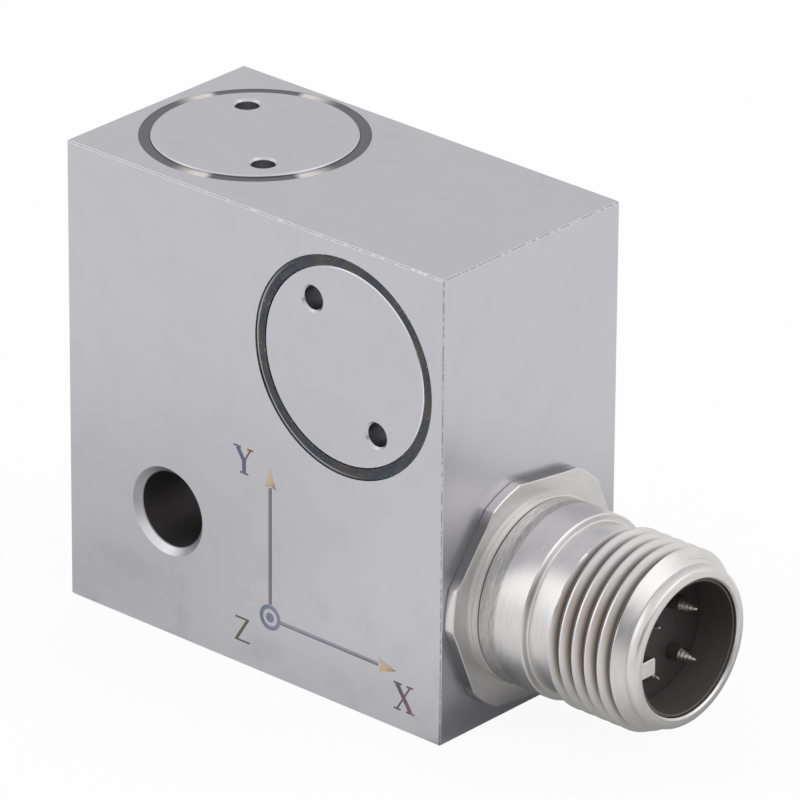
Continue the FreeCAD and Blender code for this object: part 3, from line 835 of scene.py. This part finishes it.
@dataclass(frozen=True)
class ConnectorShell:
    """The turned shell: spigot, hexagonal flange, collar, neck, M12 thread, nose, socket and key."""

    station: Station = SIDE
    spigot_radius: float = 5.5
    spigot_length: float = 4.7
    bay_radius: float = 4.75
    bay_end: float = -0.5
    flange_thickness: float = 0.72
    across_flats: float = 14.45
    corner_radius: float = 7.7
    flange_turn: float = 7.7
    flange_edge: float = 0.06
    root_radius: float = 6.03
    root_end: float = 1.15
    root_gap: float = 0.06
    collar_radius: float = 5.95
    collar_end: float = 4.65
    collar_break: float = 0.1
    collar_fillet: float = 0.14
    neck_radius: float = 5.45
    neck_end: float = 6.5
    thread_radius: float = 5.9
    thread_lead_in: float = 0.2
    thread_pitch: float = 1.0
    thread_start: float = 0.14
    thread_depth: float = 0.56
    crest_width: float = 0.12
    crest_step: float = 0.03
    flank_points: int = 5
    root_round: float = 0.16
    thread_end: float = 11.35
    nose_end: float = 12.15
    nose_radius: float = 5.02
    lip_radius: float = 5.18
    lip_rise: float = 0.1
    lip_round: float = 0.45
    lip_fillet: float = 0.06
    lip_steps: int = 10
    mouth: float = 12.95
    mouth_round: float = 0.05
    socket_radius: float = 4.4
    socket_break: float = 0.11
    key_recess: float = 0.12
    key_width: float = 1.1
    key_height: float = 1.25
    key_length: float = 1.9
    key_edge: float = 0.1
    turns: int = 288
    clear_share: float = 0.3
    sharp_angle: float = 24.0

    def angles(self) -> np.ndarray:
        """The turns, with the flange's twelve corner points among them and no other turn close to one."""
        half = math.acos(self.across_flats / 2 / self.corner_radius)
        flats = math.radians(-self.flange_turn + 30.0) + np.arange(6) * math.pi / 3
        corners = np.concatenate([flats - half, flats + half]) % (2 * math.pi)
        even = np.linspace(0.0, 2 * math.pi, self.turns, endpoint=False)
        away = np.abs(even[:, None] - corners[None]).min(axis=1)
        clear = away > self.clear_share * 2 * math.pi / self.turns
        return np.sort(np.concatenate([even[clear], corners]))

    def flange_outline(self, angles: np.ndarray, inset: float) -> np.ndarray:
        """Radius of the flange: the nearer of its flats and its turned corners, less an inset."""
        turn = (angles - math.radians(-self.flange_turn)) % (math.pi / 3) - math.pi / 6
        flat = (self.across_flats / 2 - inset) / np.cos(turn)
        return np.minimum(flat, self.corner_radius - inset)

    def envelope(self, height: np.ndarray) -> np.ndarray:
        """Radius that the thread is cut from: a lead-in, the full diameter and the nose's cone."""
        stops = [self.neck_end, self.neck_end + self.thread_lead_in, self.thread_end, self.nose_end]
        radii = [self.neck_radius, self.thread_radius, self.thread_radius, self.nose_radius]
        return np.interp(height, stops, radii)

    def groove(self, phase: np.ndarray) -> np.ndarray:
        """Depth of the thread at a phase of its pitch, counted from the crest's middle.

        The crest is flat and the flanks are straight. The root is a parabola that is
        tangent to both flanks and as wide as twice the root's rounding.
        """
        away = np.abs((phase + 0.5) % 1.0 - 0.5)
        middle = 0.5 - away
        flank = self.crest_width / self.thread_pitch / 2
        slope = self.thread_depth / (0.5 - flank - self.root_round / 2)
        straight = slope * (away - flank)
        bowl = self.thread_depth - slope * middle**2 / (2 * self.root_round)
        return np.maximum(np.where(middle < self.root_round, bowl, straight), 0.0)

    def thread(self, angles: np.ndarray) -> tuple[np.ndarray, np.ndarray, int]:
        """Radius and height of the thread's surface, in rows that follow the helix.

        The height is the pitch times the row's phase plus the turn, plus the start. The
        radius is the crest's less the groove's depth, and never more than the envelope.

        Args:
            angles: The turns of the columns.

        Returns:
            The radius and the height by row and turn, and how many rows one pitch has.
        """
        flank = self.crest_width / self.thread_pitch / 2
        slope = np.linspace(flank + self.crest_step, 0.5 - self.root_round, self.flank_points)
        half = np.concatenate([[0.0, flank], slope, [0.5 - self.root_round / 2, 0.5]])
        phase = np.concatenate([half, 1.0 - half[-2:0:-1]])
        first = int(self.neck_end / self.thread_pitch) - 2
        count = int((self.nose_end - self.neck_end) / self.thread_pitch) + 4
        rows = (np.arange(first, first + count)[:, None] + phase[None]).ravel()
        height = self.thread_start + self.thread_pitch * (rows[:, None] + angles[None] / (2 * math.pi))
        deep = self.thread_radius - np.tile(self.groove(phase), count)[:, None]
        radius = np.where(height < self.neck_end, self.neck_radius, deep)
        height = np.clip(height, self.neck_end, self.nose_end)
        return np.minimum(radius, self.envelope(height)), height, len(phase)

    def collar(self) -> np.ndarray:
        """Profile from the flange's face to the neck's end, with a fine gap at the root ring."""
        gap, broken = self.root_gap, self.collar_break
        profile = [
            (self.root_radius, self.flange_thickness),
            (self.root_radius, self.root_end - gap),
            (self.collar_radius - gap, self.root_end),
            (self.collar_radius, self.root_end + gap),
            (self.collar_radius, self.collar_end - broken),
            (self.collar_radius - broken, self.collar_end),
            (self.neck_radius, self.collar_end),
            (self.neck_radius, self.neck_end),
        ]
        return rounded(profile, {6: self.collar_fillet})

    def inside(self) -> np.ndarray:
        """Profile from the lip through the socket and the bay to the spigot's end."""
        profile = [
            (self.nose_radius, self.nose_end),
            (self.lip_radius, self.nose_end + self.lip_rise),
            (self.lip_radius, self.mouth),
            (self.socket_radius + self.socket_break, self.mouth),
            (self.socket_radius, self.mouth - self.socket_break),
            (self.socket_radius, self.bay_end),
            (self.bay_radius, self.bay_end),
            (self.bay_radius, -self.spigot_length),
            (self.spigot_radius, -self.spigot_length),
        ]
        return rounded(profile, {1: self.lip_fillet, 2: self.lip_round, 3: self.mouth_round}, self.lip_steps)

    def surface(self, skin: Skin, angles: np.ndarray) -> None:
        """Adds the whole shell: its outside up to the neck, the thread, and its inside back to the spigot."""
        edge, thick = self.flange_edge, self.flange_thickness
        rim = [(edge, 0.0), (0.0, edge), (0.0, thick - edge), (edge, thick)]
        rim_radius = np.stack([self.flange_outline(angles, inset) for inset, _ in rim])
        rim_height = np.array([height for _, height in rim])[:, None]
        spigot = np.array([[self.spigot_radius, -self.spigot_length], [self.spigot_radius, 0.0]])
        collar, inside = self.collar(), self.inside()
        thread_radius, thread_height, climb = self.thread(angles)
        flat = np.zeros_like(angles)[None]
        outside_radius = np.concatenate([spigot[:, :1] + flat, rim_radius, collar[:, :1] + flat])
        outside_height = np.concatenate([spigot[:, 1:] + flat, rim_height + flat, collar[:, 1:] + flat])
        skin.add(self.station.place(turned(angles, outside_radius, outside_height)))
        skin.add(self.station.place(turned(angles, thread_radius, thread_height)), climb)
        skin.add(self.station.place(turned(angles, inside[:, :1], inside[:, 1:])))

    def key(self) -> np.ndarray:
        """The key rib as a bar along the axis: a rounded outline between two flat ends."""
        root = (self.socket_radius + self.lip_radius) / 2
        near, far = -root, -self.socket_radius + self.key_height
        half, edge = self.key_width / 2, self.key_edge
        outline = rounded([(near, -half), (far, -half), (far, half), (near, half)], {1: edge, 2: edge})
        middle = outline.mean(axis=0)
        high, low = self.mouth - self.key_recess, self.mouth - self.key_length
        shares = ((0.0, low), (1.0, low), (1.0, high - edge / 2), (1.0 - edge / 2 / half, high), (0.0, high))
        flat = np.zeros((len(outline), 1))
        return np.stack([np.hstack([middle + (outline - middle) * s, flat + h]) for s, h in shares])

    def build(self, finish: bpy.types.Material) -> bpy.types.Object:
        """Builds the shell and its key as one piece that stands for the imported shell."""
        skin = Skin()
        self.surface(skin, self.angles())
        skin.add(self.station.place(self.key()))
        piece = skin.build("connector_shell_turned", finish, self.sharp_angle)
        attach(piece, BODY)
        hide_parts("connector_shell")
        return piece


@dataclass(frozen=True)
class CoverRing:
    """A thin turned band that lies in the groove round a cover, its top near the block's face."""

    name: str
    station: Station
    finish: Finish
    top: float
    inner: float = 6.47
    outer: float = 7.18
    bottom: float = -0.19
    edge: float = 0.02
    turns: int = 240

    def build(self) -> bpy.types.Object:
        """Builds the band: its section, with broken top corners, turned about the station's axis."""
        shoulder = self.top - self.edge
        section = [
            (self.inner, self.bottom),
            (self.outer, self.bottom),
            (self.outer, shoulder),
            (self.outer - self.edge, self.top),
            (self.inner + self.edge, self.top),
            (self.inner, shoulder),
            (self.inner, self.bottom),
        ]
        skin = Skin()
        skin.add(self.station.place(revolved(section, self.turns)))
        piece = skin.build(self.name, self.finish.material())
        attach(piece, BODY)
        return piece


# The rings' dark colours are painted dark reflections; the top ring also carries painted glints.
COVER_RINGS = (
    CoverRing(
        "top_cover_ring", TOP,
        TopRing("ring_top", (0.130, 0.128, 0.142), 1.0, 0.3, grain_mm=0.35, grain_depth_mm=0.001),
        top=-0.02,
    ),
    CoverRing(
        "front_cover_ring", FRONT,
        FrontRing("ring_front", (0.058, 0.066, 0.080), 1.0, 0.24, grain_mm=0.2, grain_depth_mm=0.001),
        top=-0.10,
    ),
)


@dataclass(frozen=True)
class AxisMark:
    """The laser-marked axes on the front face: a dotted ring, two arrows and three plain letters.

    Places are (x, z) on the front face. Each stroke is a thin closed plate.
    """

    face: float = -8.0
    proud: float = 0.006
    layer: float = 0.0008
    sunk: float = 0.02
    origin: Span = (1.50, 4.03)
    ring_outer: float = 0.86
    ring_inner: float = 0.58
    ring_turns: int = 72
    dot_radius: float = 0.33
    dot_turns: int = 48
    line_width: float = 0.27
    up_start: float = 4.93
    up_end: float = 12.86
    across_start: float = 2.33
    across_end: float = 10.46
    arrow_length: float = 1.44
    arrow_half: float = 0.48
    notch: float = 0.16

    def plate(self, outline: np.ndarray, level: int = 0) -> np.ndarray:
        """A flat plate from an outline: a middle point, the outline in front and behind, and a middle.

        Plates that cross each other have different levels, so that no two faces coincide.
        """
        middle = np.broadcast_to(outline.mean(axis=0), outline.shape)
        face = self.face + level * self.layer
        front, back = face - self.proud, face + self.sunk
        rows = ((middle, front), (outline, front), (outline, back), (middle, back))
        return np.stack([np.insert(spots, 1, y, axis=1) for spots, y in rows])

    def stroke(self, start: Span, end: Span, width: float, level: int = 0) -> np.ndarray:
        """A straight stroke between two points."""
        a, b = np.array(start), np.array(end)
        along = (b - a) / np.linalg.norm(b - a)
        side = np.array([-along[1], along[0]]) * width / 2
        return self.plate(np.stack([a + side, a - side, b - side, b + side]), level)

    def band(self, outer: float, inner: float) -> np.ndarray:
        """A ring round the origin: the four corners of its section, turned about the middle."""
        x, z = self.origin
        front, back = self.proud, -self.sunk
        section = [(inner, back), (inner, front), (outer, front), (outer, back), (inner, back)]
        middle = Station((x, self.face, z), FRONT.out, FRONT.side)
        return middle.place(revolved(section, self.ring_turns, -1))

    def dot(self) -> np.ndarray:
        """The disc in the middle of the ring."""
        rim = revolved([(self.dot_radius, 0.0)], self.dot_turns, -1)[0]
        return self.plate(rim[:, :2] + np.array(self.origin))

    def arrow(self, tip: Span, forward: Span) -> list[np.ndarray]:
        """An arrowhead with a notched back, in two halves."""
        point, along = np.array(tip), np.array(forward)
        side = np.array([-along[1], along[0]]) * self.arrow_half
        heel = point - along * (self.arrow_length - self.notch)
        back = point - along * self.arrow_length
        left, right = np.stack([point, back + side, heel]), np.stack([heel, back - side, point])
        return [self.plate(left), self.plate(right)]

    def letter(self, strokes: list[tuple[Span, Span, float]]) -> list[np.ndarray]:
        """Plates of a letter's strokes, each given as start, end and width."""
        return [self.stroke(*parts, level=k) for k, parts in enumerate(strokes)]

    def shapes(self) -> dict[str, list[np.ndarray]]:
        """Every piece of the mark by its name."""
        x, z = self.origin
        left, right = (self.across_start, z - 0.07), (self.across_end, z - 0.12)
        thick, thin, serif, slant = 0.32, 0.13, 0.13, 0.21
        return {
            "axis_origin_ring": [self.band(self.ring_outer, self.ring_inner), self.dot()],
            "axis_up_line": [self.stroke((x, self.up_start), (x, self.up_end), self.line_width)],
            "axis_across_line": [self.stroke(left, right, self.line_width)],
            "axis_up_arrow": self.arrow((x + 0.02, self.up_end + 1.4), (0.0, 1.0)),
            "axis_across_arrow": self.arrow((self.across_end + 1.45, z - 0.13), (1.0, 0.0)),
            "axis_letter_y": self.letter([
                ((-1.20, 14.82), (-0.66, 13.98), thick),
                ((-0.14, 14.82), (-0.62, 14.02), thin),
                ((-0.66, 14.10), (-0.66, 13.18), thick),
                ((-1.54, 14.86), (-0.92, 14.86), serif),
                ((-0.40, 14.86), (0.10, 14.86), serif),
                ((-1.00, 13.16), (-0.30, 13.16), serif),
            ]),
            "axis_letter_x": self.letter([
                ((11.98, 3.12), (13.12, 1.46), thick),
                ((13.04, 3.12), (12.02, 1.46), thin),
                ((11.72, 3.16), (12.38, 3.16), serif),
                ((12.76, 3.16), (13.30, 3.16), serif),
                ((11.74, 1.42), (12.30, 1.42), serif),
                ((12.74, 1.42), (13.42, 1.42), serif),
            ]),
            "axis_letter_z": self.letter([
                ((-1.42, 3.20), (-0.26, 3.20), thin),
                ((-0.38, 3.18), (-1.32, 1.68), slant),
                ((-1.44, 1.65), (-0.20, 1.65), thin),
            ]),
        }

    def finishes(self) -> tuple[LaserMark, ...]:
        """The finish of each piece, in the order of the shapes."""
        x, z = self.origin
        up, out = (x + 0.05, self.up_end + 0.7), (self.across_end + 0.6, z)
        right, down = (1.0, 0.0), (0.0, -1.0)
        line, head, text = (0.5, 0.4), (0.4, 0.4), (0.3, 0.45)
        rows = (
            ("ring", (0.17, 0.20, 0.29), (0.26, 0.27, 0.33), (x - 0.8, z), right, 1.6, 0.4, line),
            ("up_line", (0.235, 0.245, 0.275), (0.10, 0.10, 0.12), (x - 0.02, 0.0), right, 0.14, 0.6, line),
            ("across_line", (0.33, 0.33, 0.37), (0.16, 0.15, 0.19), (0.0, z - 0.06), down, 0.16, 0.6, line),
            ("up_arrow", (0.60, 0.49, 0.35), (0.32, 0.25, 0.20), up, (0.6, -0.8), 0.8, 0.35, head),
            ("across_arrow", (0.62, 0.45, 0.28), (0.15, 0.10, 0.08), out, (0.85, -0.5), 1.0, 0.35, head),
            ("letter_y", (0.13, 0.14, 0.22), (0.22, 0.10, 0.07), (-0.9, 0.0), right, 0.9, 0.3, text),
            ("letter_x", (0.13, 0.10, 0.14), (0.26, 0.12, 0.10), (12.3, 0.0), right, 1.3, 0.3, text),
            ("letter_z", (0.125, 0.12, 0.085), (0.17, 0.10, 0.07), (-1.0, 0.0), (0.7, -0.3), 1.0, 0.3, text),
        )
        return tuple(
            LaserMark(
                "mark_" + name, colour, *shine, other=other, start_at=start, along=along,
                length_mm=length, patch_mm=patch,
            )
            for name, colour, other, start, along, length, patch, shine in rows
        )

    def build(self) -> list[bpy.types.Object]:
        """Builds every piece of the mark."""
        pieces = []
        for (name, grids), finish in zip(self.shapes().items(), self.finishes()):
            skin = Skin()
            for grid in grids:
                skin.add(grid)
            piece = skin.build(name, finish.material())
            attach(piece, BODY)
            pieces.append(piece)
        return pieces


# Stage


class ShadowPatch(NamedTuple):
    """A painted shadow on the floor, an ellipse that only reflections see: its centre, its radii, its soft
    edge and its level.
    """

    centre: Span
    radii: Span
    soft: Span
    level: float


class Panel(NamedTuple):
    """Where a lamp or a card stands round the object: its turn, rise, distance and size."""

    name: str
    turn: float
    rise: float
    away: float
    size: Span


@dataclass(frozen=True)
class Studio:
    """Camera, pale floor, lamps and the white that surrounds them."""

    turn: float = 41.794
    rise: float = 25.1125
    roll: float = 0.387
    distance: float = 536.74
    lens: float = 392.42
    sensor: float = 36.0
    target: Point = (0.0, 0.0, 15.5)
    aim_right: float = 3.674
    aim_up: float = 0.046
    ambient: float = 0.75
    floor_size: Span = (4000.0, 4000.0)
    floor_below: float = 0.02
    floor_glow: float = 1.01
    seen_share: float = 0.92
    mirrored_share: float = 0.90
    footprint: Span = (15.5, 8.0)
    near_mm: float = 12.0
    near_shadow_level: float = 0.78
    # Painted shadows on the floor that only reflections see.
    patches: tuple[ShadowPatch, ...] = (
        ShadowPatch((25.0, 8.0), (17.0, 19.0), (0.15, 1.4), 0.42),
        ShadowPatch((16.5, -1.0), (3.0, 9.0), (0.3, 1.3), 0.30),
        ShadowPatch((-24.0, -20.0), (20.0, 14.0), (0.0, 1.4), 0.80),
    )

    def direction(self, turn: float, rise: float) -> np.ndarray:
        """The way from the object to a point at this turn and rise round it."""
        a, e = math.radians(turn), math.radians(rise)
        return np.array([math.sin(a) * math.cos(e), -math.cos(a) * math.cos(e), math.sin(e)])

    def camera(self) -> None:
        """Places the camera that the photograph was matched with."""
        back = self.direction(self.turn, self.rise)
        a, r = math.radians(self.turn), math.radians(self.roll)
        right = np.array([math.cos(a), math.sin(a), 0.0])
        up = np.cross(back, right)
        right, up = math.cos(r) * right + math.sin(r) * up, math.cos(r) * up - math.sin(r) * right
        centre = np.array(self.target) + self.distance * back + self.aim_right * right + self.aim_up * up
        data = bpy.data.cameras.new("photo_camera")
        data.lens, data.sensor_width = self.lens, self.sensor
        data.clip_start, data.clip_end = 0.01, 10.0
        camera = bpy.data.objects.new("photo_camera", data)
        turn = Matrix((right, up, back)).transposed().to_4x4()
        camera.matrix_world = Matrix.Translation(Vector(centre * MM)) @ turn
        bpy.context.scene.collection.objects.link(camera)
        bpy.context.scene.camera = camera

    def ray(self, sheet: NodeSheet, kind: str) -> Field:
        """1 for rays of a kind and 0 for others."""
        return sheet.field("LightPath", f"Is {kind} Ray")

    def surround(self) -> None:
        """White for the camera and for reflections, and a plain level of light for the rest."""
        world = bpy.data.worlds.new("surround")
        bpy.context.scene.world = world
        sheet = NodeSheet(world)
        seen = self.ray(sheet, "Camera").math("MAXIMUM", self.ray(sheet, "Glossy"))
        seen = seen.math("MAXIMUM", self.ray(sheet, "Transmission"))
        shade = sheet.tree.nodes["Background"]
        shade.inputs["Color"].default_value = (1.0, 1.0, 1.0, 1.0)
        sheet.join(seen.spread(self.ambient, 1.0), shade.inputs["Strength"])

    def contact_level(self, sheet: NodeSheet) -> Field:
        """How light the floor is in reflections: a painted shadow beside the block, darker behind the
        connector.

        The distance is that from the block's footprint, the length of what each of x and
        y lies outside it. Each painted shadow patch is an ellipse with a soft edge.
        """
        spot = sheet.spot()
        places = spot.axis("X"), spot.axis("Y")
        over = [(p.math("ABSOLUTE") - half).math("MAXIMUM", 0.0) for p, half in zip(places, self.footprint)]
        away = (over[0].math("POWER", 2.0) + over[1].math("POWER", 2.0)).math("SQRT")
        level = away.step(0.0, self.near_mm).mix(self.near_shadow_level, 1.0)
        for patch in self.patches:
            parts = [(p - c) / r for p, c, r in zip(places, patch.centre, patch.radii)]
            rings = parts[0].math("POWER", 2.0) + parts[1].math("POWER", 2.0)
            level = level * rings.step(*patch.soft).mix(patch.level, 1.0)
        return level

    def sheet_of(self, name: str, size: Span, material: bpy.types.Material) -> bpy.types.Object:
        """A flat rectangle that faces +Z, with its size in millimetres."""
        w, h = size[0] / 2 * MM, size[1] / 2 * MM
        mesh = bpy.data.meshes.new(name)
        mesh.from_pydata([(-w, -h, 0), (w, -h, 0), (w, h, 0), (-w, h, 0)], [], [(0, 1, 2, 3)])
        mesh.materials.append(material)
        return bpy.data.objects.new(name, mesh)

    def floor(self) -> None:
        """A pale floor: white to the camera with a soft shadow, and a painted shadow beside the object in
        reflections.
        """
        sheet = NodeSheet(bpy.data.materials.new("floor_white"))
        sheet.shader.inputs["Base Color"].default_value = (0.9, 0.9, 0.9, 1.0)
        sheet.shader.inputs["Roughness"].default_value = 0.9
        camera, glossy = self.ray(sheet, "Camera"), self.ray(sheet, "Glossy")
        level = glossy.mix(self.floor_glow, self.contact_level(sheet))
        glow = sheet.field("Emission", Color=(1.0, 1.0, 1.0, 1.0), Strength=level)
        share = (camera * self.seen_share).math("MAXIMUM", glossy * self.mirrored_share)
        plain = Field(sheet, sheet.shader.outputs[0])
        sheet.join(sheet.field("MixShader", Fac=share, in1=plain, in2=glow), sheet.output)
        floor = self.sheet_of("floor", self.floor_size, sheet.owner)
        floor.location.z = -self.floor_below * MM
        bpy.context.scene.collection.objects.link(floor)

    def aim(self, thing: bpy.types.Object, panel: Panel) -> None:
        """Puts a lamp or a card at its turn, rise and distance, facing the object."""
        back = Vector(self.direction(panel.turn, panel.rise))
        thing.location = (Vector(self.target) + back * panel.away) * MM
        thing.rotation_mode = "QUATERNION"
        thing.rotation_quaternion = back.to_track_quat("Z", "Y")
        bpy.context.scene.collection.objects.link(thing)

    def lamp(self, panel: Panel, level: float) -> None:
        """A rectangular soft lamp whose face is as bright as the level says, where 1 is white."""
        data = bpy.data.lights.new(panel.name, "AREA")
        data.shape = "RECTANGLE"
        data.size, data.size_y = panel.size[0] * MM, panel.size[1] * MM
        data.energy = level * math.pi * data.size * data.size_y
        self.aim(bpy.data.objects.new(panel.name, data), panel)

    def card(self, panel: Panel, glow: Colour) -> None:
        """A card that only reflections see, as bright as its colour says."""
        sheet = NodeSheet(bpy.data.materials.new(panel.name))
        sheet.join(sheet.field("Emission", Color=(*glow, 1.0), Strength=1.0), sheet.output)
        card = self.sheet_of(panel.name, panel.size, sheet.owner)
        card.visible_camera = False
        card.visible_diffuse = False
        card.visible_shadow = False
        self.aim(card, panel)

    def build(self) -> None:
        """Sets up everything round the object."""
        self.camera()
        self.surround()
        self.floor()
        self.lamp(Panel("soft_box", -46.0, 26.0, 600.0, (320.0, 420.0)), 0.70)
        self.card(Panel("behind_left_card", -138.0, 32.0, 700.0, (1100.0, 800.0)), (0.82, 0.82, 0.83))
        self.card(Panel("camera_side_card", 56.0, 8.0, 700.0, (440.0, 440.0)), (0.14, 0.14, 0.15))
        self.card(Panel("warm_card", 84.0, 3.0, 690.0, (260.0, 260.0)), (0.42, 0.375, 0.34))
        self.lamp(Panel("right_panel", 103.0, 43.0, 600.0, (540.0, 280.0)), 0.75)


def dress_nodes(materials: dict[str, bpy.types.Material]) -> None:
    """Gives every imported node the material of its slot."""
    for part in frame["record"]["subparts"]:
        for slot in frame["nodes"][part["node"]].material_slots:
            slot.material = materials[part["material_slot"]]


def main() -> None:
    """Builds the pieces in order and reports each."""
    logging.basicConfig(level=logging.INFO, format="%(name)s: %(message)s")
    bpy.context.scene.view_settings.view_transform = "Standard"
    Studio().build()
    materials = {slot.name: slot.value.material() for slot in Slot}
    dress_nodes(materials)
    rings = [ring.build() for ring in COVER_RINGS]
    pieces = [ConnectorShell().build(materials["turned_steel"]), *rings, *AxisMark().build()]
    for piece in pieces:
        LOG.info("%s: %d faces", piece.name, len(piece.data.polygons))


if __name__ == "__main__":
    main()
